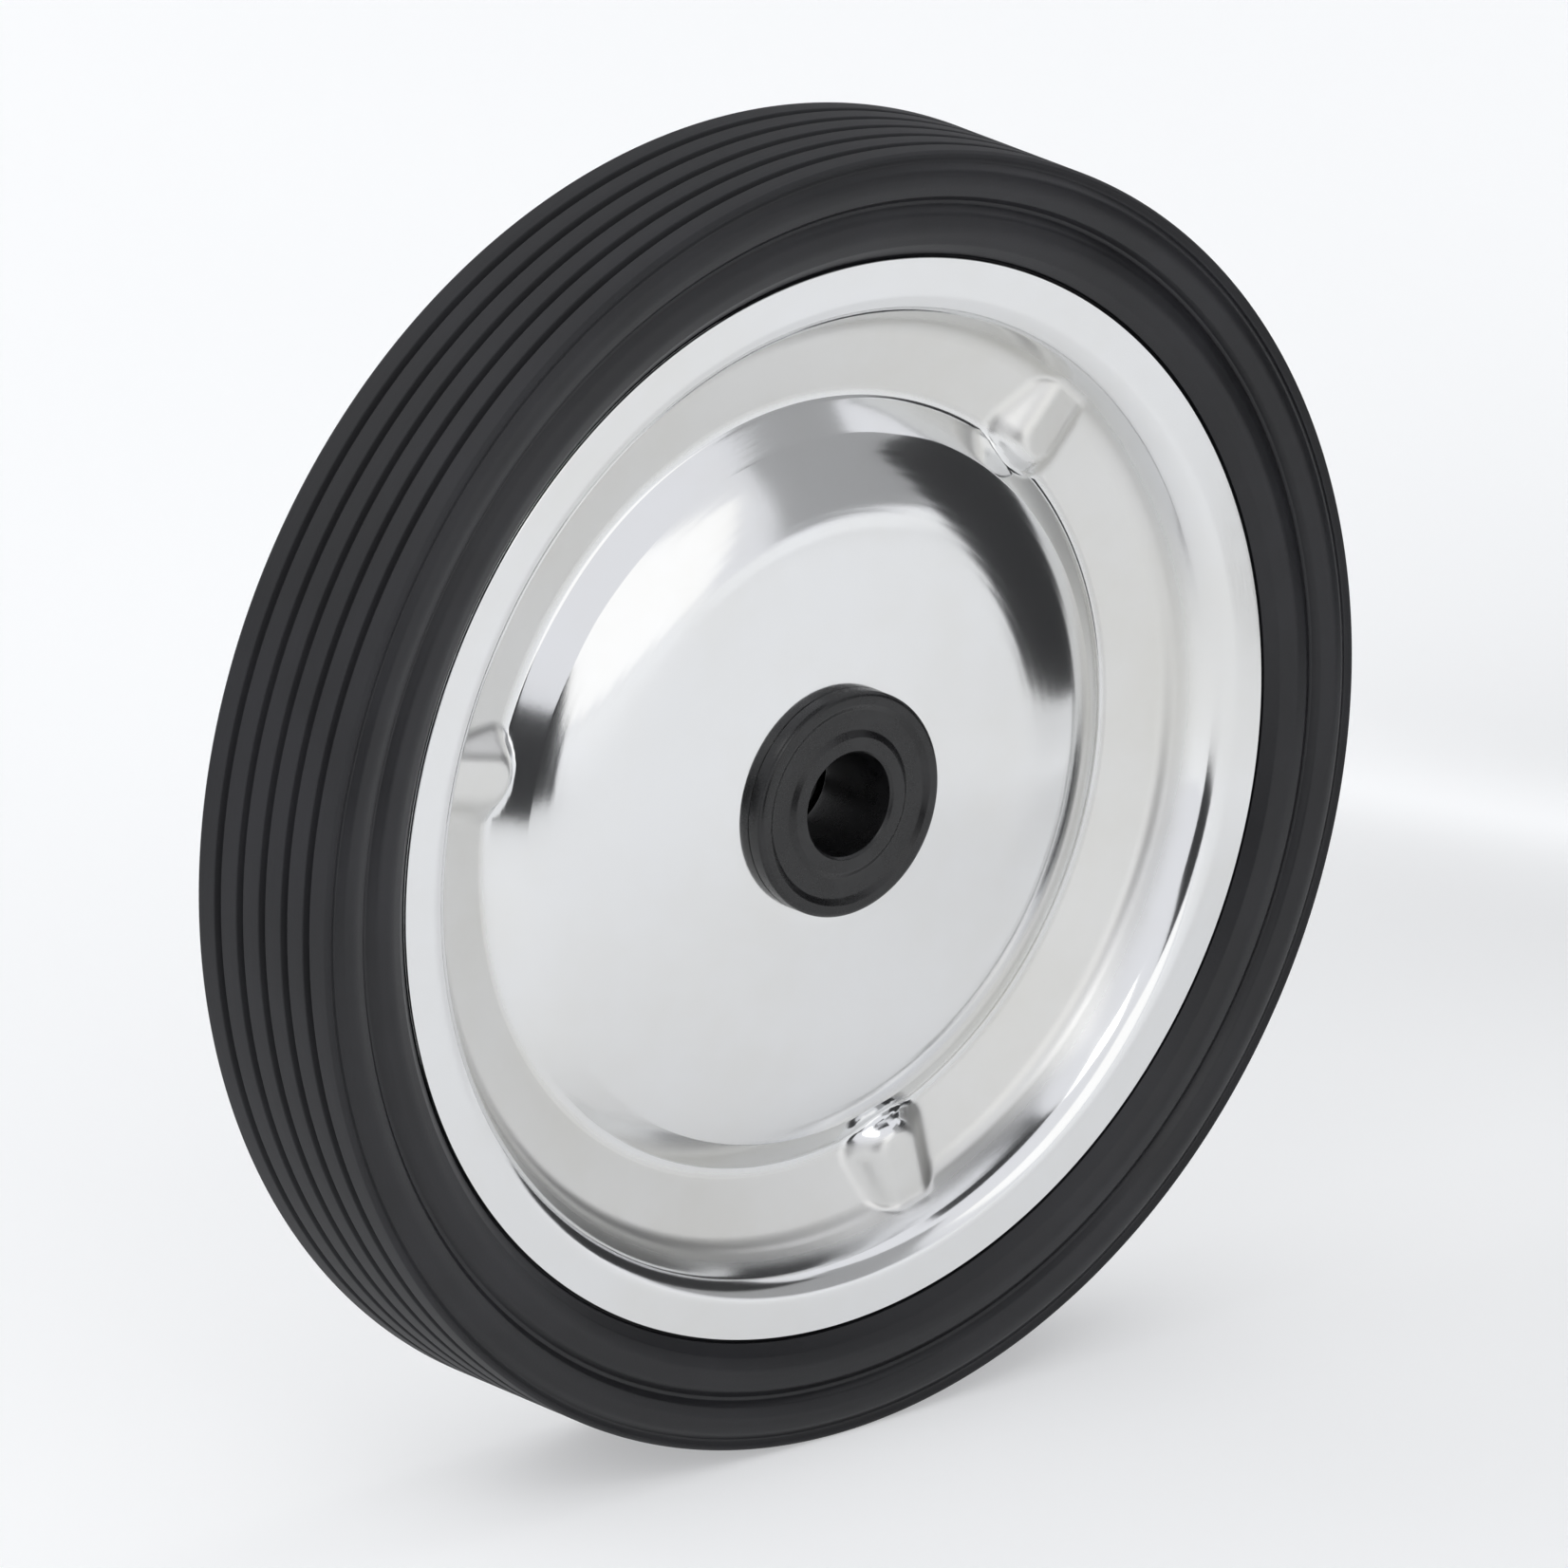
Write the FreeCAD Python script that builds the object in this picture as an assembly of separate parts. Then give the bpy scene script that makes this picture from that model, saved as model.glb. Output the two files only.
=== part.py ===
"""Pressed-disc wheel with a solid ribbed rubber tyre and plain flanged bushes.

Two identical sheet-steel discs stand back to back on a hub tube. Their rim
flanges clamp the foot of the tyre, and a plastic bush is pressed into each tube end.
Frame: mm, wheel centre at the origin, axle along Y, front face toward -Y, Z up.
"""
import FreeCAD
import Part

import math
import os
from typing import NamedTuple

# Tyre, mm
TYRE_DIAMETER = 250.0
TYRE_WIDTH = 40.0
TYRE_HEIGHT = 20.7          # rubber seen outside the steel rim
SIDEWALL_BULGE = 3.5        # rubber standing out beyond the rim flange
EDGE_GAP = 0.5              # reveal between the steel edge and the rubber
SHOULDER_FILLET = 2.0
GROOVE_COUNT = 5
GROOVE_MARGIN = 7.2         # outermost groove to the tyre's side
GROOVE_WIDTH = 2.0
GROOVE_DEPTH = 1.4
SEAT_LIFT = 1.6             # tyre seat above the foot of the disc wall

# Pressed discs, working from the rim to the hub, mm
SHEET = 1.2
RIM_BAND = 9.9              # flat flange at the rim
WALL_RUN = 5.4              # radial run of the wall inside it
WALL_FOOT_RISE = 2.9        # foot of the wall above the valley floor
SHELF_WIDTH = 12.6
VALLEY_FLAT = 2.0           # floor of the valley, where the discs come closest
VALLEY_GAP = 5.4            # between the hidden faces of the two discs there
SKIRT_RUN = 5.8
SKIRT_RISE = 4.6            # dome foot above the valley floor
SHOULDER_RUN = 10.8         # steeper outer part of the dome
SHOULDER_SHARE = 0.72       # of the dome's rise that its outer part takes up
HUB_LAND = 2.2              # flat seat beyond the bush flange
INSIDE_BEND = 0.8           # tightest inside radius of a pressed corner
LIP_BEND = 4.8              # inside radius where the rim flange turns in
WALL_FOOT_BEND = 5.0
VALLEY_BEND = 1.8
SHOULDER_BEND = 50.0
HUB_BEND = 8.0

# Ribs pressed across the valley, mm
RIB_COUNT = 3
FIRST_RIB_ANGLE = 45.5      # degrees from +X toward +Z
RIB_TOP_WIDTH = 6.8
RIB_FOOT_WIDTH = 14.2
RIB_HEIGHT = 5.4            # above the valley floor
RIB_TIP_REACH = 0.5         # inward from the middle of the valley, at the foot
RIB_TIP_LEAN = 2.2          # the tip's set-back at the crown
RIB_TIP_ROUND = 0.75        # length of the round tip over its half width
RIB_CROWN_FILLET = 2.2

# Hub, mm
HUB_WIDTH = 32.8            # tube length, between the bush flanges
TUBE_WALL = 1.5
BORE_DIAMETER = 20.0        # running bore of the bushes
BUSH_WALL = 2.5
FLANGE_LAND = 7.8           # flange beyond the tube
FLANGE_THICKNESS = 3.6
FLANGE_EDGE = 1.0           # rounding of the flange rim
FLANGE_RIM = 1.4            # raised flat ring on the flange
SPIGOT_LENGTH = 15.4
SPIGOT_LEAD_IN = 0.6
COLLAR_WIDTH = 3.1          # raised ring around the bore
DISH = 0.8                  # depth of the dished face and of the bore chamfer
DISH_SLOPE = 1.2

# Places that follow from the sizes above
TYRE_R = TYRE_DIAMETER / 2
TYRE_HALF = TYRE_WIDTH / 2
RIM_R = TYRE_R - TYRE_HEIGHT
RIM_HALF = TYRE_HALF - SIDEWALL_BULGE
LIP_R = RIM_R - RIM_BAND
WALL_FOOT_R = LIP_R - WALL_RUN
VALLEY_DEPTH = VALLEY_GAP / 2 + SHEET
WALL_FOOT_DEPTH = VALLEY_DEPTH + WALL_FOOT_RISE
VALLEY_OUTER_R = WALL_FOOT_R - SHELF_WIDTH
VALLEY_INNER_R = VALLEY_OUTER_R - VALLEY_FLAT
DOME_R = VALLEY_INNER_R - SKIRT_RUN
DOME_FOOT_DEPTH = VALLEY_DEPTH + SKIRT_RISE
HUB_HALF = HUB_WIDTH / 2
DOME_SHOULDER_DEPTH = DOME_FOOT_DEPTH + SHOULDER_SHARE * (HUB_HALF - DOME_FOOT_DEPTH)
BORE_R = BORE_DIAMETER / 2
TUBE_BORE_R = BORE_R + BUSH_WALL
TUBE_R = TUBE_BORE_R + TUBE_WALL
FLANGE_R = TUBE_R + FLANGE_LAND

Y_AXIS = FreeCAD.Vector(0, 1, 0)
Z_AXIS = FreeCAD.Vector(0, 0, 1)
CENTRE = FreeCAD.Vector(0, 0, 0)


class Corner(NamedTuple):
    """One corner of a section line: radius, distance from mid-plane, bend radius."""

    r: float
    depth: float
    bend: float = 0.0


def on_front(corner):
    """Point of the front half section, with Y running toward the rear."""
    return FreeCAD.Vector(corner.r, -corner.depth, 0)


def side_normal(direction):
    """Normal pointing to the mid-plane side of a line that runs toward the hub."""
    return FreeCAD.Vector(direction.y, -direction.x, 0)


def bent_line(corners, offset=0.0):
    """Edges of a line with rounded corners, moved sideways by offset."""
    points = [on_front(c) for c in corners]
    runs = [(b - a).normalize() for a, b in zip(points, points[1:])]
    edges, start = [], points[0] + side_normal(runs[0]) * offset
    for corner, point, run_in, run_out in zip(corners[1:-1], points[1:-1], runs, runs[1:]):
        half_turn = run_in.getAngle(run_out) / 2
        setback = corner.bend * math.tan(half_turn)
        n_in, n_out = side_normal(run_in), side_normal(run_out)
        n_mid = (n_in + n_out).normalize()
        turn = 1 if n_in.dot(run_out) > 0 else -1
        reach = corner.bend * (1 / math.cos(half_turn) - 1)
        first = point - run_in * setback + n_in * offset
        middle = point + n_mid * (turn * reach + offset)
        last = point + run_out * setback + n_out * offset
        edges.append(Part.makeLine(start, first))
        edges.append(Part.Arc(first, middle, last).toShape())
        start = last
    edges.append(Part.makeLine(start, points[-1] + side_normal(runs[-1]) * offset))
    return edges


def joined(points):
    """Straight edges through a list of points."""
    return [Part.makeLine(a, b) for a, b in zip(points, points[1:])]


def turned(edges):
    """Solid of revolution about the axle from a closed chain of section edges."""
    return Part.Face(Part.Wire(edges)).revolve(CENTRE, Y_AXIS, 360)


def turned_polygon(points):
    """Solid of revolution from (r, y) section corners."""
    ring = [FreeCAD.Vector(r, y, 0) for r, y in points]
    return turned(joined(ring + ring[:1]))


def disc_line():
    """Visible face of a disc from the rim edge in to the tube."""
    return [
        Corner(RIM_R, RIM_HALF),
        Corner(LIP_R, RIM_HALF, SHEET + LIP_BEND),
        Corner(WALL_FOOT_R, WALL_FOOT_DEPTH, WALL_FOOT_BEND),
        Corner(VALLEY_OUTER_R, VALLEY_DEPTH, VALLEY_BEND),
        Corner(VALLEY_INNER_R, VALLEY_DEPTH, VALLEY_BEND),
        Corner(DOME_R, DOME_FOOT_DEPTH, SHEET + INSIDE_BEND),
        Corner(DOME_R - SHOULDER_RUN, DOME_SHOULDER_DEPTH, SHOULDER_BEND),
        Corner(FLANGE_R + HUB_LAND, HUB_HALF, HUB_BEND),
        Corner(TUBE_R, HUB_HALF),
    ]


def ends(edges):
    """First and last point of a chain of edges."""
    return edges[0].Vertexes[0].Point, edges[-1].Vertexes[-1].Point


def sheet_ring():
    """Disc before its ribs are pressed."""
    face, back = bent_line(disc_line()), bent_line(disc_line(), SHEET)
    (rim, hub), (rim_back, hub_back) = ends(face), ends(back)
    return turned(face + joined([hub, hub_back]) + back[::-1] + joined([rim_back, rim]))


def room_in_front():
    """Everything ahead of the disc's hidden face, which bounds the ribs."""
    back = bent_line(disc_line(), SHEET)
    rim, hub = ends(back)
    ahead = -2 * RIM_HALF
    return turned(back + joined([hub, FreeCAD.Vector(hub.x, ahead, 0),
                                 FreeCAD.Vector(rim.x, ahead, 0), rim]))


def rib_outline(depth, inset):
    """Plan of a rib at one depth: parallel flanks, a round tip, an end inside the wall."""
    rise = (depth - VALLEY_DEPTH) / RIB_HEIGHT
    half = (RIB_FOOT_WIDTH + (RIB_TOP_WIDTH - RIB_FOOT_WIDTH) * rise) / 2 - inset
    valley_middle = (VALLEY_OUTER_R + VALLEY_INNER_R) / 2
    tip = valley_middle - RIB_TIP_REACH + RIB_TIP_LEAN * rise + inset
    shoulder = tip + RIB_TIP_ROUND * half

    def at(x, z):
        return FreeCAD.Vector(x, -depth, z)

    nose = Part.Arc(at(shoulder, half), at(tip, 0), at(shoulder, -half)).toShape()
    flanks = joined([at(shoulder, -half), at(LIP_R, -half), at(LIP_R, half), at(shoulder, half)])
    return Part.Wire([nose] + flanks)


def rib_block(inset=0.0):
    """Tapered block of one rib along +X; the inset one is the hollow behind it."""
    lean = math.hypot(1, (RIB_FOOT_WIDTH - RIB_TOP_WIDTH) / 2 / RIB_HEIGHT)
    crown, foot = VALLEY_DEPTH + RIB_HEIGHT - inset, VALLEY_DEPTH - SHEET - inset
    block = Part.makeLoft([rib_outline(depth, inset * lean) for depth in (foot, crown)], True, True)
    if inset:
        return block
    rim = [edge for edge in block.Edges
           if all(math.isclose(v.Point.y, -crown, abs_tol=1e-6) for v in edge.Vertexes)
           and any(v.Point.x < LIP_R - SHEET for v in edge.Vertexes)]
    return block.makeFillet(RIB_CROWN_FILLET, rim)


def spun(shape, angle):
    """Copy turned about the axle, counting from +X toward +Z."""
    return shape.rotated(CENTRE, Y_AXIS, -angle)


def front_disc():
    """Pressed disc with hollow ribs across its valley."""
    disc = sheet_ring()
    rib, hollow = rib_block().common(room_in_front()), rib_block(inset=SHEET)
    angles = [FIRST_RIB_ANGLE + i * 360 / RIB_COUNT for i in range(RIB_COUNT)]
    for angle in angles:
        disc = disc.fuse(spun(rib, angle))
    for angle in angles:
        disc = disc.cut(spun(hollow, angle))
    return disc.removeSplitter()


def rear_disc(disc):
    """The same pressing turned over about the line of its first rib."""
    angle = math.radians(FIRST_RIB_ANGLE)
    return disc.rotated(CENTRE, FreeCAD.Vector(math.cos(angle), 0, math.sin(angle)), 180)


def tyre_foot():
    """Line of the tyre against the front disc, from the rim edge to the seat."""
    flange, lip, wall = bent_line(disc_line()[:4], SHEET)[:3]
    top, foot = (vertex.Point for vertex in wall.Vertexes)
    share = (top.y + WALL_FOOT_DEPTH + SEAT_LIFT) / (top.y - foot.y)
    return [flange, lip] + joined([top, top + (foot - top) * share])


def sidewall():
    """Corners (r, y) of the front sidewall: bead, raised ring and shoulder rib."""
    reveal = RIM_R + EDGE_GAP
    pocket, proud, bead_edge = SHEET, 1.2, 0.4
    bead = [(RIM_R, RIM_HALF - pocket), (reveal, RIM_HALF - pocket), (reveal, RIM_HALF - bead_edge),
            (reveal + 1.2, RIM_HALF + proud), (reveal + 3.8, TYRE_HALF - 0.9),
            (reveal + 6.8, TYRE_HALF - 0.7), (reveal + 9.2, TYRE_HALF - 1.6)]
    ring_foot = reveal + 10.0
    ring = [(ring_foot, TYRE_HALF - 2.0), (ring_foot + 1.6, TYRE_HALF - 1.0),
            (ring_foot + 4.4, TYRE_HALF), (ring_foot + 7.2, TYRE_HALF - 0.4),
            (ring_foot + 8.0, TYRE_HALF - 1.4), (ring_foot + 8.6, TYRE_HALF - 1.4)]
    chamfer = 0.3 * SHOULDER_FILLET
    shoulder = [(TYRE_R - chamfer, TYRE_HALF - chamfer - 0.6), (TYRE_R, TYRE_HALF - 0.6 - SHOULDER_FILLET)]
    return [(r, -depth) for r, depth in bead + ring + shoulder]


def tread():
    """Corners (r, y) of the grooved tread from front to rear."""
    pitch = (TYRE_WIDTH - 2 * GROOVE_MARGIN) / (GROOVE_COUNT - 1)
    floor_r, mouth, floor = TYRE_R - GROOVE_DEPTH, GROOVE_WIDTH / 2, GROOVE_WIDTH / 4
    corners = []
    for i in range(GROOVE_COUNT):
        y = i * pitch + GROOVE_MARGIN - TYRE_HALF
        corners += [(TYRE_R, y - mouth), (floor_r, y - floor), (floor_r, y + floor), (TYRE_R, y + mouth)]
    return corners


def tyre():
    """Solid tyre whose foot fits the hidden faces of both discs."""
    foot = tyre_foot()
    seat_start = ends(foot)[1]
    seat = joined([seat_start, FreeCAD.Vector(seat_start.x, -seat_start.y, 0)])
    rear_foot = [edge.mirror(CENTRE, Y_AXIS) for edge in reversed(foot)]
    side = sidewall()
    outline = side + tread() + [(r, -y) for r, y in reversed(side)]
    skin = joined([FreeCAD.Vector(r, y, 0) for r, y in outline])
    return turned(foot + seat + rear_foot + skin[::-1])


def hub_tube():
    """Plain steel tube through both discs."""
    return turned_polygon([(TUBE_BORE_R, -HUB_HALF), (TUBE_R, -HUB_HALF),
                           (TUBE_R, HUB_HALF), (TUBE_BORE_R, HUB_HALF)])


def front_bush():
    """Flanged bush with a dished face, its spigot pressed into the tube."""
    face, inner = HUB_HALF + FLANGE_THICKNESS, HUB_HALF - SPIGOT_LENGTH
    rim, collar, corner = FLANGE_R - FLANGE_EDGE - FLANGE_RIM, BORE_R + COLLAR_WIDTH, 0.3 * FLANGE_EDGE
    section = [
        (BORE_R, inner), (TUBE_BORE_R - SPIGOT_LEAD_IN, inner),
        (TUBE_BORE_R, inner + SPIGOT_LEAD_IN), (TUBE_BORE_R, HUB_HALF),
        (FLANGE_R, HUB_HALF), (FLANGE_R, face - FLANGE_EDGE), (FLANGE_R - corner, face - corner),
        (FLANGE_R - FLANGE_EDGE, face), (rim, face), (rim - DISH_SLOPE, face - DISH),
        (collar + DISH_SLOPE, face - DISH), (collar, face),
        (BORE_R + DISH, face), (BORE_R, face - DISH),
    ]
    return turned_polygon([(r, -depth) for r, depth in section])


def rear_bush(bush):
    """The same bush facing the rear."""
    return bush.rotated(CENTRE, Z_AXIS, 180)


def main():
    """Build every piece and write it as its own STEP file."""
    disc, bush = front_disc(), front_bush()
    pieces = {
        "tyre": tyre(),
        "front_disc": disc,
        "rear_disc": rear_disc(disc),
        "hub_tube": hub_tube(),
        "front_bush": bush,
        "rear_bush": rear_bush(bush),
    }
    os.makedirs("parts", exist_ok=True)
    for name, piece in pieces.items():
        print(f"{name}: solids {len(piece.Solids)}, valid {piece.isValid()}, volume {piece.Volume:.1f}")
        piece.Solids[0].exportStep(f"parts/{name}.step")


main()
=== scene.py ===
"""Looks of a pressed-disc wheel: ribbed rubber tyre, bright steel discs and black bushes."""

import logging
import math
from dataclasses import dataclass, field
from enum import Enum
from typing import Any, Iterable, Sequence

import bpy
import numpy as np
from mathutils import Matrix, Vector


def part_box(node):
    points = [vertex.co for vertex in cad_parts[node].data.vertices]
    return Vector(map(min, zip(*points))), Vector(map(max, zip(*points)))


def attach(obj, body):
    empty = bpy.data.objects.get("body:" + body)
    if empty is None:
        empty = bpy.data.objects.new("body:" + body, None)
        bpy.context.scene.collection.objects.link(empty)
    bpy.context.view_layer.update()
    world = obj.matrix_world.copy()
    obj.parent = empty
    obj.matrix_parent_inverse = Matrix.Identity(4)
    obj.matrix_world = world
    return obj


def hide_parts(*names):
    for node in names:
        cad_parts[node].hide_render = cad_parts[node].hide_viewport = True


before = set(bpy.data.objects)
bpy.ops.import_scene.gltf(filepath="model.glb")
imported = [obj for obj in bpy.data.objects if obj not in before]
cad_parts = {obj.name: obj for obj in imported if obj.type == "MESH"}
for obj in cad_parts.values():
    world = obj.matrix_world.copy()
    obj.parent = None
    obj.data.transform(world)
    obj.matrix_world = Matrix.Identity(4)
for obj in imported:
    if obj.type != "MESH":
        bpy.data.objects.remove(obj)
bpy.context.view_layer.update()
LOG = logging.getLogger("wheel")
MM = 0.001
BODY = "root"


class Face(Enum):
    """Which side of the wheel a piece stands on."""

    FRONT = -1
    REAR = 1


# ---------------------------------------------------------------- shader maths


class Signal:
    """A shader socket that takes part in Python arithmetic."""

    def __init__(self, book: "NodeBook", socket: Any) -> None:
        """Wrap one output socket of a node tree."""
        self.book = book
        self.socket = socket

    def _math(self, operation: str, *values: Any) -> "Signal":
        """Add one Math node.

        Args:
            operation: Name of the node's operation.
            *values: Numbers or signals for its inputs, in order.

        Returns:
            The node's result.
        """
        return self.book.node("ShaderNodeMath", {"operation": operation}, dict(enumerate(values)))

    def __add__(self, other: Any) -> "Signal":
        """Sum."""
        return self._math("ADD", self, other)

    def __mul__(self, other: Any) -> "Signal":
        """Product."""
        return self._math("MULTIPLY", self, other)

    def __pow__(self, other: Any) -> "Signal":
        """Power."""
        return self._math("POWER", self, other)

    __radd__ = __add__
    __rmul__ = __mul__

    def maximum(self, other: Any) -> "Signal":
        """Larger of two values."""
        return self._math("MAXIMUM", self, other)

    def ramp(self, low: float, high: float, start: float = 0.0, end: float = 1.0) -> "Signal":
        """Smooth step from start at low to end at high.

        Args:
            low: Value where the step begins.
            high: Value where the step is complete.
            start: Result at and below low.
            end: Result at and above high.

        Returns:
            The stepped value.
        """
        settings = {"interpolation_type": "SMOOTHSTEP", "clamp": True}
        return self.book.node("ShaderNodeMapRange", settings,
                              {"Value": self, "From Min": low, "From Max": high, "To Min": start, "To Max": end})


class NodeBook:
    """Adds nodes to one tree."""

    def __init__(self, tree: Any) -> None:
        """Clear the tree and keep it."""
        self.tree = tree
        tree.nodes.clear()

    def node(self, kind: str, settings: dict[str, Any] | None = None,
             inputs: dict[Any, Any] | None = None, output: int | str = 0) -> Signal:
        """Add one node with its settings and inputs.

        Args:
            kind: The node's type name.
            settings: Properties that are set before the inputs.
            inputs: Values or signals by socket name or number.
            output: Name or number of the output to return.

        Returns:
            The chosen output as a signal.
        """
        made = self.tree.nodes.new(kind)
        for name, value in (settings or {}).items():
            setattr(made, name, value)
        for key, value in (inputs or {}).items():
            if isinstance(value, Signal):
                self.tree.links.new(value.socket, made.inputs[key])
            else:
                made.inputs[key].default_value = value
        return Signal(self, made.outputs[output])

    def end(self, kind: str, shader: Signal) -> None:
        """Send a shader to the tree's output node.

        Args:
            kind: The output node's type name.
            shader: What it shows.
        """
        output = self.tree.nodes.new(kind)
        self.tree.links.new(shader.socket, output.inputs["Surface"])

    def position(self) -> Signal:
        """Place of the shaded point in the piece's own frame."""
        return self.node("ShaderNodeTexCoord", output="Object")

    def split(self, vector: Signal) -> tuple[Signal, Signal, Signal]:
        """X, Y and Z of a vector signal."""
        made = self.tree.nodes.new("ShaderNodeSeparateXYZ")
        self.tree.links.new(vector.socket, made.inputs[0])
        return tuple(Signal(self, made.outputs[i]) for i in range(3))

    def combine(self, x: Any, y: Any, z: Any) -> Signal:
        """Vector from three values."""
        return self.node("ShaderNodeCombineXYZ", None, {0: x, 1: y, 2: z})

    def noise(self, vector: Signal, scale: float, detail: float = 2.0, roughness: float = 0.5) -> Signal:
        """Fractal noise between 0 and 1.

        Args:
            vector: Place where it is read.
            scale: Features per metre.
            detail: Octaves.
            roughness: Strength of each finer octave.

        Returns:
            The noise value.
        """
        return self.node("ShaderNodeTexNoise", None,
                         {"Vector": vector, "Scale": scale, "Detail": detail, "Roughness": roughness})

    def blend(self, share: Signal, first: Sequence[float] | Signal, second: Sequence[float] | Signal) -> Signal:
        """Mix two colours.

        Args:
            share: 0 gives the first colour and 1 the second.
            first: Colour or signal.
            second: Colour or signal.

        Returns:
            The mixed colour.
        """
        return self.node("ShaderNodeMix", {"data_type": "RGBA"}, {0: share, 6: first, 7: second}, output=2)

    def bump(self, height: Signal, strength: float, distance: float) -> Signal:
        """Normal shaken by a height.

        Args:
            height: Relief, 0 to 1.
            strength: Share of the relief that shows.
            distance: Height of the relief in metres.

        Returns:
            The new normal.
        """
        return self.node("ShaderNodeBump", None, {"Strength": strength, "Distance": distance, "Height": height})


def rgb(red: float, green: float, blue: float) -> tuple[float, float, float, float]:
    """Opaque colour."""
    return (red, green, blue, 1.0)


def around_axle(book: NodeBook) -> tuple[Signal, Signal, Signal]:
    """Wheel coordinates of the shaded point.

    Args:
        book: Tree that the nodes go into.

    Returns:
        Radius, angle about the axle and position along the axle.
    """
    x, y, z = book.split(book.position())
    radius = (x * x + z * z) ** 0.5
    angle = book.node("ShaderNodeMath", {"operation": "ARCTAN2"}, {0: z, 1: x})
    return radius, angle, y


# ---------------------------------------------------------------- finishes


@dataclass(frozen=True)
class Finish:
    """A named material built from nodes."""

    name: str

    def surface(self, book: NodeBook) -> dict[str, Any]:
        """Inputs of the shader that vary over the surface.

        Args:
            book: Tree that the nodes go into.

        Returns:
            Values and signals by socket name.
        """
        raise NotImplementedError

    def make(self) -> Any:
        """Build the material."""
        material = bpy.data.materials.new(self.name)
        material.use_nodes = True
        book = NodeBook(material.node_tree)
        shader = book.node("ShaderNodeBsdfPrincipled", None, self.surface(book))
        book.end("ShaderNodeOutputMaterial", shader)
        return material


@dataclass(frozen=True)
class TyreRubber(Finish):
    """Black vulcanised rubber with a fine grain and faint dusty bloom."""

    name: str = "tyre_rubber"
    dark: tuple[float, float, float, float] = rgb(0.009, 0.009, 0.0105)
    bloom: tuple[float, float, float, float] = rgb(0.020, 0.020, 0.024)
    tread_radius: float = 123.6 * MM
    cloud_scale: float = 22.0
    grain_scale: float = 2600.0
    draw_scale: float = 900.0
    draw_length: float = 3.0
    roughness: float = 0.27
    tread_roughness: float = 0.28
    specular: float = 0.40
    relief: float = 0.00012

    def surface(self, book: NodeBook) -> dict[str, Any]:
        """Colour, roughness and grain of the rubber.

        Args:
            book: Tree that the nodes go into.

        Returns:
            Values and signals by socket name.
        """
        place = book.position()
        radius, angle, y = around_axle(book)
        cloud = book.noise(place, self.cloud_scale, detail=4.0, roughness=0.6)
        grain = book.noise(place, self.grain_scale, detail=2.0, roughness=0.6)
        along = book.combine(radius * self.draw_scale, y * self.draw_scale, angle * self.draw_length)
        drawn = book.noise(along, 1.0, detail=2.0)
        tread = radius.ramp(self.tread_radius - 1 * MM, self.tread_radius)
        bloom = cloud.ramp(0.38, 0.72) * 0.55 + grain * 0.25
        return {
            "Base Color": book.blend(bloom, self.dark, self.bloom),
            "Roughness": self.roughness + cloud * 0.12 + drawn * 0.05 + tread * self.tread_roughness,
            "Specular IOR Level": self.specular,
            "Normal": book.bump(grain * 0.6 + drawn * 0.4, strength=0.35, distance=self.relief),
        }


@dataclass(frozen=True)
class PlatedSteel(Finish):
    """Bright plated sheet with soft waves from pressing and hairline polish marks, and painted shade on its recessed
    shelf.
    """

    name: str = "plated_steel"
    bright: tuple[float, float, float, float] = rgb(0.79, 0.795, 0.80)
    # Colour of random stains and of the painted shade on the recessed shelf.
    warm_stain_and_shade: tuple[float, float, float, float] = rgb(0.73, 0.722, 0.69)
    polish: float = 0.09
    recess: tuple[float, float] = (76.5 * MM, 89.5 * MM)
    recess_dullness: float = 0.26
    stain_scale: float = 16.0
    wave_scale: float = 42.0
    hairline_scale: float = 1400.0
    hairline_length: float = 14.0
    speckle_scale: float = 900.0
    relief: float = 0.0006

    def surface(self, book: NodeBook) -> dict[str, Any]:
        """Tint, polish and waviness of the plating; the tint holds random stains and painted shade on the recessed
        shelf.

        Args:
            book: Tree that the nodes go into.

        Returns:
            Values and signals by socket name.
        """
        place = book.position()
        radius, angle, _ = around_axle(book)
        stain = book.noise(place, self.stain_scale, detail=5.0, roughness=0.65)
        waves = book.noise(place, self.wave_scale, detail=2.0, roughness=0.4)
        polished = book.combine(radius * self.hairline_scale, angle * self.hairline_length, 0.0)
        hairline = book.noise(polished, 1.0, detail=3.0, roughness=0.7)
        speckle = book.noise(place, self.speckle_scale, detail=2.0, roughness=0.5)
        inner, outer = self.recess
        # Band of the recessed shelf: in the base colour it is painted shade, a darker and warmer tint, and it also
        # dulls the polish.
        recess = radius.ramp(inner - 2 * MM, inner) * radius.ramp(outer, outer + 3 * MM, 1.0, 0.0)
        stain_and_recess_shade = recess * 0.5 + stain.ramp(0.35, 0.75) * 0.5
        dull = stain.ramp(0.3, 0.8) * 0.05
        relief = waves * 0.9 + hairline * 0.04 + speckle * 0.02
        return {
            "Base Color": book.blend(stain_and_recess_shade, self.bright, self.warm_stain_and_shade),
            "Metallic": 1.0,
            "Roughness": self.polish + dull + hairline * 0.03 + recess * self.recess_dullness,
            "Normal": book.bump(relief, strength=0.16, distance=self.relief),
        }


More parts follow.
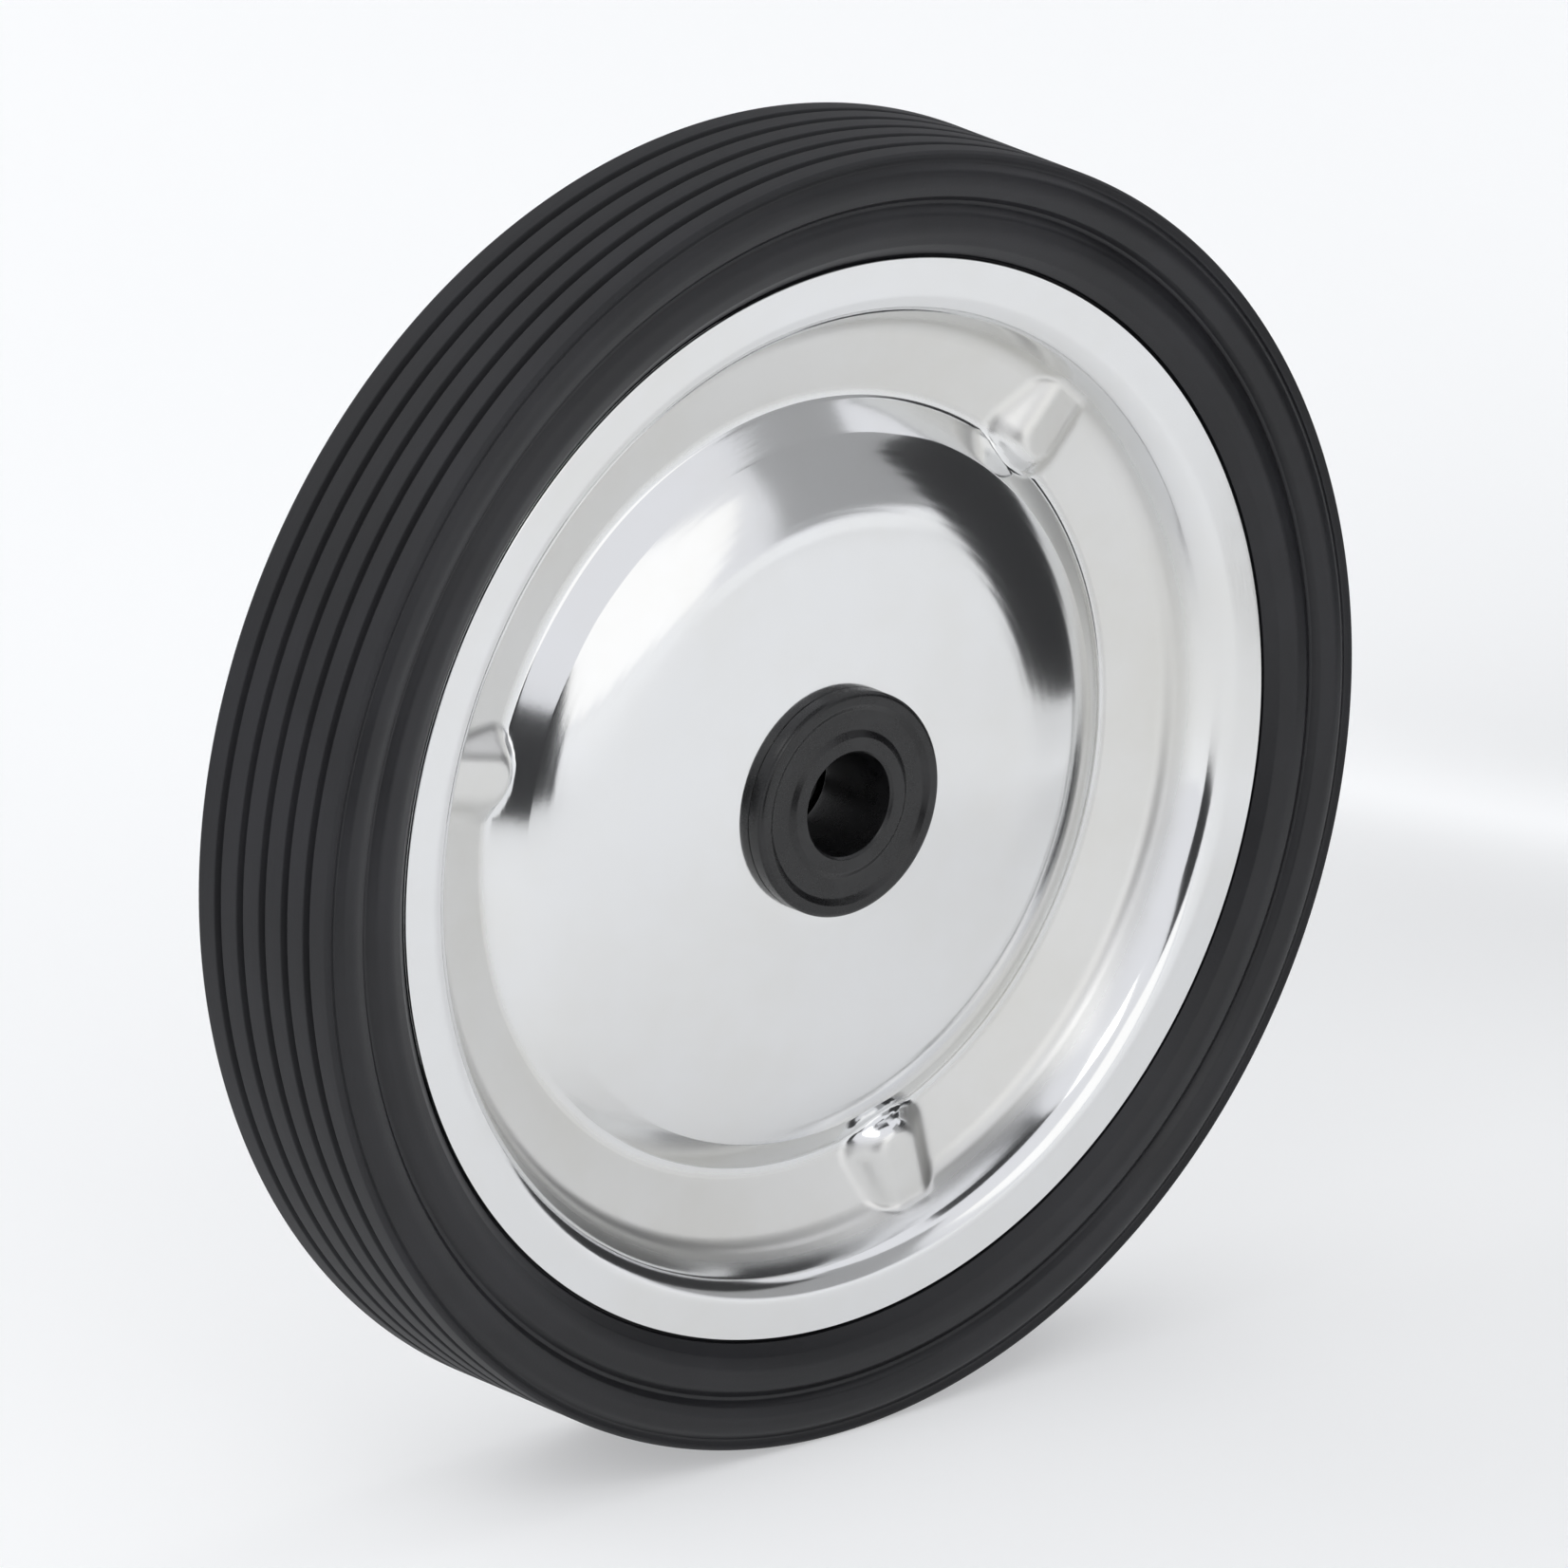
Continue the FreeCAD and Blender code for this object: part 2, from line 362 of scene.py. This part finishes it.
@dataclass(frozen=True)
class TubeSteel(Finish):
    """Plain drawn tube with lengthwise draw marks."""

    name: str = "tube_steel"
    base: tuple[float, float, float, float] = rgb(0.52, 0.52, 0.52)
    oiled: tuple[float, float, float, float] = rgb(0.34, 0.33, 0.32)

    def surface(self, book: NodeBook) -> dict[str, Any]:
        """Colour and draw marks of the tube.

        Args:
            book: Tree that the nodes go into.

        Returns:
            Values and signals by socket name.
        """
        _, angle, y = around_axle(book)
        marks = book.noise(book.combine(angle * 60.0, y * 40.0, 0.0), 1.0, detail=3.0, roughness=0.6)
        return {
            "Base Color": book.blend(marks.ramp(0.3, 0.8), self.base, self.oiled),
            "Metallic": 1.0,
            "Roughness": 0.3 + marks * 0.2,
            "Normal": book.bump(marks, strength=0.2, distance=0.0001),
        }


@dataclass(frozen=True)
class BushPlastic(Finish):
    """Black moulded nylon with a satin skin and a faint spark-eroded grain."""

    name: str = "bush_plastic"
    base: tuple[float, float, float, float] = rgb(0.005, 0.005, 0.0055)
    scuffed: tuple[float, float, float, float] = rgb(0.013, 0.013, 0.014)

    def surface(self, book: NodeBook) -> dict[str, Any]:
        """Colour, sheen and grain of the plastic.

        Args:
            book: Tree that the nodes go into.

        Returns:
            Values and signals by socket name.
        """
        place = book.position()
        cloud = book.noise(place, 120.0, detail=3.0, roughness=0.6)
        grain = book.noise(place, 4200.0, detail=2.0, roughness=0.5)
        return {
            "Base Color": book.blend(cloud.ramp(0.4, 0.8), self.base, self.scuffed),
            "Roughness": 0.20 + cloud * 0.10 + grain * 0.05,
            "Normal": book.bump(grain, strength=0.18, distance=0.00008),
        }


# ---------------------------------------------------------------- mesh making


@dataclass(frozen=True)
class Corner:
    """Corner of a section: radius, height along the axle and rounding radius."""

    r: float
    y: float
    fillet: float = 0.0


def rounded(corners: Sequence[Corner], step: float = math.radians(7)) -> np.ndarray:
    """Section line with its corners turned into arcs.

    Args:
        corners: Corners from one end of the line to the other.
        step: Largest turn between two points of an arc, in radians.

    Returns:
        Array of (r, y) points.
    """
    points = [np.array([c.r, c.y]) for c in corners]
    line = [points[0]]
    for before, at, after, corner in zip(points, points[1:], points[2:], corners[1:]):
        run_in = (at - before) / np.linalg.norm(at - before)
        run_out = (after - at) / np.linalg.norm(after - at)
        turn = math.atan2(run_in[0] * run_out[1] - run_in[1] * run_out[0], float(run_in @ run_out))
        if corner.fillet <= 0 or abs(turn) < 1e-4:
            line.append(at)
            continue
        setback = corner.fillet * math.tan(abs(turn) / 2)
        side = np.array([-run_in[1], run_in[0]]) * math.copysign(1.0, turn)
        start = at - run_in * setback
        centre = start + side * corner.fillet
        count = max(2, math.ceil(abs(turn) / step))
        for i in range(count + 1):
            a = turn * i / count
            spoke = start - centre
            line.append(centre + np.array([spoke[0] * math.cos(a) - spoke[1] * math.sin(a),
                                           spoke[0] * math.sin(a) + spoke[1] * math.cos(a)]))
    line.append(points[-1])
    return np.array(line)


def divided(line: np.ndarray, longest: float) -> np.ndarray:
    """Line whose runs are no longer than a limit.

    Args:
        line: Array of (r, y) points.
        longest: Longest run allowed.

    Returns:
        Array with points added along the long runs.
    """
    made = [line[0]]
    for a, b in zip(line, line[1:]):
        count = max(1, math.ceil(float(np.linalg.norm(b - a)) / longest))
        made += [a + (b - a) * i / count for i in range(1, count + 1)]
    return np.array(made)


def grid_faces(rows: int, columns: int, closed: bool) -> list[tuple[int, int, int, int]]:
    """Quads of a grid that closes on itself around the axle.

    Args:
        rows: Points along the section.
        columns: Points around the axle.
        closed: Whether the last row joins the first.

    Returns:
        Vertex numbers of each quad.
    """
    i, j = np.meshgrid(np.arange(rows if closed else rows - 1), np.arange(columns), indexing="ij")
    i2, j2 = (i + 1) % rows, (j + 1) % columns
    quads = np.stack([i * columns + j, i * columns + j2, i2 * columns + j2, i2 * columns + j], -1)
    return quads.reshape(-1, 4).tolist()


def make_piece(name: str, points: np.ndarray, faces: Iterable[Sequence[int]]) -> Any:
    """Smooth mesh object from points and faces.

    Args:
        name: Piece name.
        points: Array of x, y, z rows.
        faces: Vertex numbers of each face.

    Returns:
        The new object, linked to the scene.
    """
    mesh = bpy.data.meshes.new(name)
    mesh.from_pydata(points.tolist(), [], list(faces))
    mesh.validate()
    mesh.polygons.foreach_set("use_smooth", [True] * len(mesh.polygons))
    mesh.update()
    piece = bpy.data.objects.new(name, mesh)
    bpy.context.scene.collection.objects.link(piece)
    return piece


def lathed(name: str, section: np.ndarray, segments: int) -> Any:
    """Closed ring turned about the axle.

    Args:
        name: Piece name.
        section: Closed section as (r, y) points.
        segments: Steps around the axle.

    Returns:
        The new object.
    """
    turn = np.linspace(0, 2 * math.pi, segments, endpoint=False)
    r, y = section[:, :1], section[:, 1:]
    points = np.stack([r * np.cos(turn), y + 0 * turn, r * np.sin(turn)], -1).reshape(-1, 3)
    return make_piece(name, points, grid_faces(len(section), segments, True))


def settle(piece: Any, material: Any, node: str) -> None:
    """Dress a piece and let it stand for its CAD node.

    Args:
        piece: Finished mesh object.
        material: Its material.
        node: CAD node that it replaces.
    """
    piece.data.materials.append(material)
    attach(piece, BODY)
    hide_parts(node)
    LOG.info("%s: %d faces", piece.name, len(piece.data.polygons))


# ---------------------------------------------------------------- sub-assemblies


@dataclass
class Tyre:
    """Solid tyre with a grooved tread and a bead, ring and shoulder on each side.

    The corners of bead, ring and shoulder are counted from the reveal's edge and from the tyre's side.
    """

    finish: TyreRubber = field(default_factory=TyreRubber)
    rim_radius: float = 104.3 * MM
    foot_radius: float = 95.6 * MM
    seat_radius: float = 91.4 * MM
    seat_depth: float = 7.6 * MM
    flange_depth: float = 16.5 * MM
    sheet: float = 1.2 * MM
    reveal: float = 0.5 * MM
    reveal_drop: float = 0.2 * MM
    reveal_round: float = 0.3 * MM
    bead: tuple[Corner, ...] = (
        Corner(2.2 * MM, -1.7 * MM, 1.2 * MM),
        Corner(5.2 * MM, -0.5 * MM, 4.0 * MM),
        Corner(8.4 * MM, -1.0 * MM, 2.4 * MM),
        Corner(9.9 * MM, -2.3 * MM, 0.5 * MM),
    )
    ring: tuple[Corner, ...] = (
        Corner(10.6 * MM, -2.3 * MM, 0.4 * MM),
        Corner(11.6 * MM, -1.0 * MM, 0.9 * MM),
        Corner(14.4 * MM, 0.0, 4.0 * MM),
        Corner(16.6 * MM, -0.5 * MM, 2.0 * MM),
        Corner(18.1 * MM, -1.7 * MM, 0.5 * MM),
    )
    shoulder: tuple[Corner, ...] = (
        Corner(18.7 * MM, -1.4 * MM, 0.4 * MM),
        Corner(19.5 * MM, -0.9 * MM, 0.5 * MM),
    )
    shoulder_drop: float = 1.9 * MM
    shoulder_round: float = 0.8 * MM
    grooves: int = 5
    groove_margin: float = 7.2 * MM
    groove_width: float = 2.0 * MM
    groove_depth: float = 1.4 * MM
    groove_lip_round: float = 0.35 * MM
    groove_floor_round: float = 0.25 * MM
    foot_round: float = 4.0 * MM
    seat_round: float = 0.5 * MM
    mesh_step: float = 2.0 * MM
    segments: int = 480

    def sidewall(self, radius: float, half: float) -> list[Corner]:
        """Corners of one side from the steel rim out to the shoulder.

        Args:
            radius: Tyre radius.
            half: Half the tyre's width.

        Returns:
            Corners with y counted from the mid-plane.
        """
        edge = self.rim_radius + self.reveal
        pocket = self.flange_depth - self.sheet
        return [
            Corner(self.rim_radius, pocket),
            Corner(edge, pocket),
            Corner(edge, self.flange_depth - self.reveal_drop, self.reveal_round),
            *(Corner(edge + c.r, half + c.y, c.fillet) for c in self.bead + self.ring + self.shoulder),
            Corner(radius, half - self.shoulder_drop, self.shoulder_round),
        ]

    def tread(self, radius: float, half: float) -> list[Corner]:
        """Corners of the tread from front to rear.

        Args:
            radius: Tyre radius.
            half: Half the tyre's width.

        Returns:
            Corners of every groove.
        """
        pitch = 2 * (half - self.groove_margin) / (self.grooves - 1)
        lip, floor = self.groove_width / 2, self.groove_width / 4
        corners = []
        for i in range(self.grooves):
            y = i * pitch + self.groove_margin - half
            corners += [
                Corner(radius, y - lip, self.groove_lip_round),
                Corner(radius - self.groove_depth, y - floor, self.groove_floor_round),
                Corner(radius - self.groove_depth, y + floor, self.groove_floor_round),
                Corner(radius, y + lip, self.groove_lip_round),
            ]
        return corners

    def build(self) -> None:
        """Make the tyre and put it in place of its node."""
        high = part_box("tyre")[1]
        radius, half = high.x, high.y
        side = self.sidewall(radius, half)
        front = [Corner(c.r, -c.y, c.fillet) for c in side]
        rear = list(reversed(side))
        foot = [
            Corner(self.foot_radius, self.flange_depth - self.sheet, self.foot_round),
            Corner(self.seat_radius, self.seat_depth, self.seat_round),
            Corner(self.seat_radius, -self.seat_depth, self.seat_round),
            Corner(self.foot_radius, self.sheet - self.flange_depth, self.foot_round),
        ]
        outline = rounded(front + self.tread(radius, half) + rear + foot + front[:1])
        section = divided(outline[:-1], self.mesh_step)
        settle(lathed("tyre_moulding", section, self.segments), self.finish.make(), "tyre")


@dataclass
class PressedDisc:
    """Sheet disc with rim flange, wall, valley, dome and raised ribs."""

    face: Face
    finish: PlatedSteel
    sheet: float = 1.2 * MM
    rim_band: float = 9.9 * MM
    wall_run: float = 5.4 * MM
    valley_depth: float = 3.9 * MM
    wall_foot_rise: float = 2.9 * MM
    shelf_width: float = 12.6 * MM
    valley_flat: float = 2.0 * MM
    skirt_run: float = 5.8 * MM
    skirt_rise: float = 4.6 * MM
    shoulder_run: float = 10.8 * MM
    shoulder_share: float = 0.72
    hub_depth: float = 16.4 * MM
    seat_radius: float = 24.0 * MM
    hole_radius: float = 14.0 * MM
    rib_angle: float = math.radians(45.5)
    ribs: int = 3
    rib_height: float = 5.4 * MM
    rib_top: float = 2.6 * MM
    rib_foot: float = 7.8 * MM
    rib_tip: float = 77.1 * MM
    rib_tip_run: float = 3.2 * MM
    rib_crown: float = 1.7 * MM
    rib_nose: float = 0.75
    rim_cap: float = 9.0 * MM
    blend: float = 1.9 * MM
    edge_break: float = 0.3 * MM
    edge_round: float = 0.2 * MM
    lip_bend: float = 6.0 * MM
    foot_bend: float = 5.0 * MM
    valley_bend: float = 1.8 * MM
    dome_foot_bend: float = 2.0 * MM
    shoulder_bend: float = 50 * MM
    seat_bend: float = 8.0 * MM
    arc_step: float = math.radians(3)
    mesh_step: float = 0.8 * MM
    hidden_side_step: int = 3
    segments: int = 1080

    def section(self, radius: float, depth: float) -> np.ndarray:
        """Front line of the disc from rim to hub.

        Args:
            radius: Outer radius of the disc.
            depth: Depth of its rim flange from the mid-plane.

        Returns:
            Array of (r, depth) points.
        """
        lip = radius - self.rim_band
        foot = lip - self.wall_run
        valley = foot - self.shelf_width
        dome = valley - self.valley_flat - self.skirt_run
        dome_depth = self.valley_depth + self.skirt_rise
        shoulder = dome_depth + self.shoulder_share * (self.hub_depth - dome_depth)
        return rounded([
            Corner(radius, depth - self.edge_break),
            Corner(radius - self.edge_break, depth, self.edge_round),
            Corner(lip, depth, self.lip_bend),
            Corner(foot, self.valley_depth + self.wall_foot_rise, self.foot_bend),
            Corner(valley, self.valley_depth, self.valley_bend),
            Corner(valley - self.valley_flat, self.valley_depth, self.valley_bend),
            Corner(dome, dome_depth, self.dome_foot_bend),
            Corner(dome - self.shoulder_run, shoulder, self.shoulder_bend),
            Corner(self.seat_radius, self.hub_depth, self.seat_bend),
            Corner(self.hole_radius, self.hub_depth),
        ], self.arc_step)

    def rib(self, x: np.ndarray, z: np.ndarray) -> np.ndarray:
        """Depth of one rib's surface, which runs off below the sheet outside it.

        Args:
            x: Distance from the axle along the rib.
            z: Distance across the rib.

        Returns:
            Depth of the rib at each place.
        """
        centre = self.rib_tip + self.rib_nose * self.rib_top
        ahead = np.maximum(centre - x, 0)
        reach = np.hypot(ahead, z)
        outside = np.maximum(reach - self.rib_top, 0)
        nose = (ahead / np.maximum(reach, 1e-9)) ** 2
        flank = self.rib_height / (self.rib_foot - self.rib_top)
        slope = flank + (self.rib_height / self.rib_tip_run - flank) * nose
        crown = self.rib_crown
        fall = np.where(outside < 2 * crown, outside ** 2 / (4 * crown), outside - crown) * slope
        return self.valley_depth + self.rib_height - fall

    def depth(self, r: np.ndarray, turn: np.ndarray, line: np.ndarray) -> np.ndarray:
        """Depth of the pressed face with its ribs.

        Args:
            r: Radii.
            turn: Angles about the axle.
            line: Section from rim to hub.

        Returns:
            Depth from the mid-plane at each place.
        """
        base = np.interp(r, line[::-1, 0], line[::-1, 1])
        pitch = 2 * math.pi / self.ribs
        near = (turn - self.rib_angle + pitch / 2) % pitch - pitch / 2
        rib = self.rib(r * np.cos(near), r * np.sin(near))
        share = np.clip(0.5 + (rib - base) / (2 * self.blend), 0, 1)
        merged = base + (rib - base) * share + self.blend * share * (1 - share)
        near_rim = r > line[:, 0].max() - 2 * self.rim_band
        return np.where(near_rim, np.maximum(base, np.minimum(merged, base + self.rim_cap)), merged)

    def build(self) -> None:
        """Make the disc and put it in place of its node."""
        node = f"{self.face.name.lower()}_disc"
        low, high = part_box(node)
        depth = max(-low.y, high.y)
        line = self.section(high.x, depth)
        rows = divided(line, self.mesh_step)[:, 0]
        turn = np.linspace(0, 2 * math.pi, self.segments, endpoint=False)
        r, a = np.meshgrid(rows, turn, indexing="ij")
        d = np.minimum(self.depth(r, a, line), depth)
        front = np.stack([r * np.cos(a), -d, r * np.sin(a)], -1)
        along = np.gradient(front, axis=0)
        around = (np.roll(front, -1, 1) - np.roll(front, 1, 1)) / 2
        normal = np.cross(along, around)
        normal /= np.linalg.norm(normal, axis=-1, keepdims=True)
        normal *= np.sign(normal[..., 1:2])
        back = (front + normal * self.sheet)[::-1][::self.hidden_side_step]
        points = np.concatenate([front, back]).reshape(-1, 3)
        faces = grid_faces(len(front) + len(back), self.segments, True)
        piece = make_piece(f"{node}_pressing", points, faces)
        if self.face is Face.REAR:
            axis = Vector((math.cos(self.rib_angle), 0, math.sin(self.rib_angle)))
            piece.data.transform(Matrix.Rotation(math.pi, 4, axis))
        settle(piece, self.finish.make(), node)


@dataclass
class HubTube:
    """Steel tube that carries both bushes."""

    finish: TubeSteel = field(default_factory=TubeSteel)
    wall: float = 1.5 * MM
    edge_round: float = 0.25 * MM
    mesh_step: float = 4 * MM
    segments: int = 192

    def build(self) -> None:
        """Make the tube and put it in place of its node."""
        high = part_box("hub_tube")[1]
        outer, inner, half, edge = high.x, high.x - self.wall, high.y, self.edge_round
        section = rounded([
            Corner(inner, 0), Corner(inner, -half, edge), Corner(outer, -half, edge),
            Corner(outer, half, edge), Corner(inner, half, edge), Corner(inner, 0),
        ])[:-1]
        settle(lathed("hub_tube_drawn", divided(section, self.mesh_step), self.segments), self.finish.make(),
               "hub_tube")


@dataclass
class FlangedBush:
    """Moulded bush with a raised rim, a dished face and a collar round its bore."""

    face: Face
    finish: BushPlastic
    bore: float = 10.0 * MM
    spigot: float = 12.5 * MM
    flange_thickness: float = 3.6 * MM
    rim_edge: float = 1.0 * MM
    rim_ring: float = 1.4 * MM
    collar: float = 3.1 * MM
    dish: float = 0.8 * MM
    slope: float = 1.2 * MM
    end_round: float = 0.3 * MM
    lead_in: float = 0.5 * MM
    neck_round: float = 0.2 * MM
    rim_round: float = 1.1 * MM
    ring_round: float = 0.6 * MM
    dish_round: float = 0.8 * MM
    collar_round: float = 0.5 * MM
    mouth_share: float = 0.7
    mouth_round: float = 0.4 * MM
    mesh_step: float = 1.5 * MM
    segments: int = 256

    def build(self) -> None:
        """Make the bush and put it in place of its node."""
        node = f"{self.face.name.lower()}_bush"
        low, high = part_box(node)
        sign = self.face.value
        face = max(-low.y, high.y)
        inner = min(abs(low.y), abs(high.y))
        flange = high.x
        seat = face - self.flange_thickness
        rim = flange - self.rim_edge - self.rim_ring
        collar = self.bore + self.collar
        mouth = self.mouth_share * self.dish
        corners = [
            Corner(self.bore, (face + inner) / 2),
            Corner(self.bore, inner, self.end_round), Corner(self.spigot, inner, self.lead_in),
            Corner(self.spigot, seat, self.neck_round), Corner(flange, seat, self.end_round),
            Corner(flange, face, self.rim_round), Corner(rim, face, self.ring_round),
            Corner(rim - self.slope, face - self.dish, self.dish_round),
            Corner(collar + self.slope, face - self.dish, self.dish_round),
            Corner(collar, face, self.collar_round), Corner(self.bore + mouth, face, self.end_round),
            Corner(self.bore, face - mouth, self.mouth_round), Corner(self.bore, (face + inner) / 2),
        ]
        section = rounded(corners)[:-1]
        section[:, 1] *= sign
        piece = lathed(f"{node}_moulding", divided(section, self.mesh_step), self.segments)
        settle(piece, self.finish.make(), node)


# ---------------------------------------------------------------- studio


WHITE = rgb(1.0, 1.0, 1.0)
BLACK_FELT = rgb(0.05, 0.05, 0.052)


@dataclass(frozen=True)
class StudioBoard:
    """Flat board that stands round the wheel and faces it: a dark flag, or a light box where it glows.

    Azimuth and elevation are in degrees, from the wheel's front toward the right and above its centre.
    """

    name: str
    azimuth: float
    elevation: float
    width: float
    height: float
    colour: tuple[float, float, float, float]
    glow: float = 0.0
    distance: float = 1.6

    def corners(self, face: Face) -> np.ndarray:
        """Corners of the board.

        Args:
            face: Side of the wheel that the board stands on.

        Returns:
            Four points in metres.
        """
        side, turn, rise = face.value, math.radians(self.azimuth), math.radians(self.elevation)
        ahead = np.array([math.sin(turn), side * math.cos(turn), 0.0])
        upright = np.array([0.0, 0.0, 1.0])
        toward = ahead * math.cos(rise) + upright * math.sin(rise)
        across = np.array([math.cos(turn), -side * math.sin(turn), 0.0]) * self.width / 2
        up = (upright * math.cos(rise) - ahead * math.sin(rise)) * self.height / 2
        middle = toward * self.distance
        return np.array([middle - across - up, middle + across - up, middle + across + up, middle - across + up])

    def finish(self) -> Any:
        """Matt card, or the even white of a light box."""
        material = bpy.data.materials.new(self.name)
        material.use_nodes = True
        book = NodeBook(material.node_tree)
        if self.glow:
            shader = book.node("ShaderNodeEmission", None, {"Color": self.colour, "Strength": self.glow})
        else:
            shader = book.node("ShaderNodeBsdfDiffuse", None, {"Color": self.colour})
        book.end("ShaderNodeOutputMaterial", shader)
        return material

    def build(self, face: Face) -> Any:
        """Board in its place.

        Args:
            face: Side of the wheel that the board stands on.

        Returns:
            The board's object.
        """
        place = "front" if face is Face.FRONT else "back"
        board = make_piece(f"{self.name}_{place}", self.corners(face), [(0, 1, 2, 3)])
        board.data.materials.append(self.finish())
        board.visible_camera = False
        return board


def shown_rays(book: NodeBook) -> Signal:
    """Rays that show the background: straight to the camera, or by way of metal or glass.

    Args:
        book: Tree that the nodes go into.

    Returns:
        One for such a ray, else nought.
    """
    camera, glossy, through = (
        book.node("ShaderNodeLightPath", output=f"Is {kind} Ray") for kind in ("Camera", "Glossy", "Transmission"))
    return camera.maximum(glossy).maximum(through)


@dataclass
class Studio:
    """Pale floor and backdrop, light boxes and flags round the wheel, and the camera."""

    distance: float = 6.258
    azimuth: float = math.radians(-40.18)
    elevation: float = math.radians(19.80)
    lens: float = 772.4
    shift: tuple[float, float] = (0.0019, -0.0041)
    floor_reach: float = 6.0
    floor_colour: tuple[float, float, float, float] = rgb(0.92, 0.93, 0.955)
    floor_pale: tuple[float, float, float, float] = rgb(0.965, 0.97, 0.985)
    floor_lift: float = 0.40
    backdrop_colour: tuple[float, float, float, float] = rgb(0.912, 0.922, 0.962)
    soft_light: float = 1.20
    boards: tuple[StudioBoard, ...] = (
        StudioBoard("front_light_box", azimuth=4, elevation=13, width=1.10, height=0.70, colour=WHITE, glow=1.25),
        StudioBoard("upper_light_box", azimuth=-46, elevation=46, width=0.60, height=0.50, colour=WHITE, glow=2.5),
        StudioBoard("right_flag", azimuth=68, elevation=6, width=0.19, height=0.25, colour=BLACK_FELT, distance=0.34),
        StudioBoard("left_flag", azimuth=-31, elevation=-3, width=0.48, height=0.44, colour=BLACK_FELT, distance=0.8),
        StudioBoard("grey_card", azimuth=44, elevation=24, width=0.78, height=1.30, colour=rgb(0.40, 0.40, 0.405)),
        StudioBoard("ceiling_flag", azimuth=0, elevation=72, width=0.90, height=0.55, colour=rgb(0.06, 0.06, 0.062)),
    )
    light_colour: tuple[float, float, float, float] = rgb(0.99, 1.0, 1.0)
    sensor: float = 36.0
    view_reach: float = 100.0

    def light_world(self) -> None:
        """Plain soft light all round, and one pale backdrop for the camera and for what metal mirrors."""
        world = bpy.data.worlds.new("studio")
        bpy.context.scene.world = world
        world.use_nodes = True
        book = NodeBook(world.node_tree)
        seen = book.node("ShaderNodeBackground", None, {"Color": self.backdrop_colour, "Strength": 1.0})
        plain = book.node("ShaderNodeBackground", None, {"Color": self.light_colour, "Strength": self.soft_light})
        mixed = book.node("ShaderNodeMixShader", None, {0: shown_rays(book), 1: plain, 2: seen})
        book.end("ShaderNodeOutputWorld", mixed)

    def stand_boards(self) -> None:
        """Light boxes and flags, alike before the wheel and behind it."""
        for board in self.boards:
            for face in Face:
                board.build(face)

    def floor_material(self) -> Any:
        """Matt white laminate."""
        material = bpy.data.materials.new("white_floor")
        material.use_nodes = True
        book = NodeBook(material.node_tree)
        shade = book.noise(book.position(), 3.0, detail=2.0)
        colour = book.blend(shade, self.floor_colour, self.floor_pale)
        matt = book.node("ShaderNodeBsdfDiffuse", None, {"Color": colour})
        pale = book.node("ShaderNodeEmission", None, {"Color": self.floor_pale, "Strength": 1.0})
        seen = shown_rays(book) * self.floor_lift
        book.end("ShaderNodeOutputMaterial", book.node("ShaderNodeMixShader", None, {0: seen, 1: matt, 2: pale}))
        return material

    def lay_floor(self) -> None:
        """Floor under the wheel."""
        level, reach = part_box("tyre")[0].z, self.floor_reach
        outline = ((-reach, -reach), (reach, -reach), (reach, reach), (-reach, reach))
        corners = np.array([(x, y, level) for x, y in outline])
        floor = make_piece("floor", corners, [(0, 1, 2, 3)])
        floor.data.materials.append(self.floor_material())

    def place_camera(self) -> None:
        """Camera a long way off, looking down at the wheel without roll."""
        data = bpy.data.cameras.new("camera")
        data.lens, data.sensor_width = self.lens, self.sensor
        data.shift_x, data.shift_y = self.shift
        data.clip_end = self.view_reach
        camera = bpy.data.objects.new("camera", data)
        bpy.context.scene.collection.objects.link(camera)
        level = math.cos(self.elevation)
        away = Vector((math.sin(self.azimuth) * level, -math.cos(self.azimuth) * level, math.sin(self.elevation)))
        camera.location = away * self.distance
        camera.rotation_euler = away.to_track_quat("Z", "Y").to_euler()
        bpy.context.scene.camera = camera

    def build(self) -> None:
        """Set the stage."""
        bpy.context.scene.view_settings.view_transform = "Standard"
        self.light_world()
        self.lay_floor()
        self.stand_boards()
        self.place_camera()


def main() -> None:
    """Build every piece of the wheel and its studio."""
    logging.basicConfig(level=logging.INFO, format="%(name)s %(message)s")
    Tyre().build()
    for face in Face:
        PressedDisc(face, PlatedSteel()).build()
        FlangedBush(face, BushPlastic()).build()
    HubTube().build()
    Studio().build()


if __name__ == "__main__":
    main()
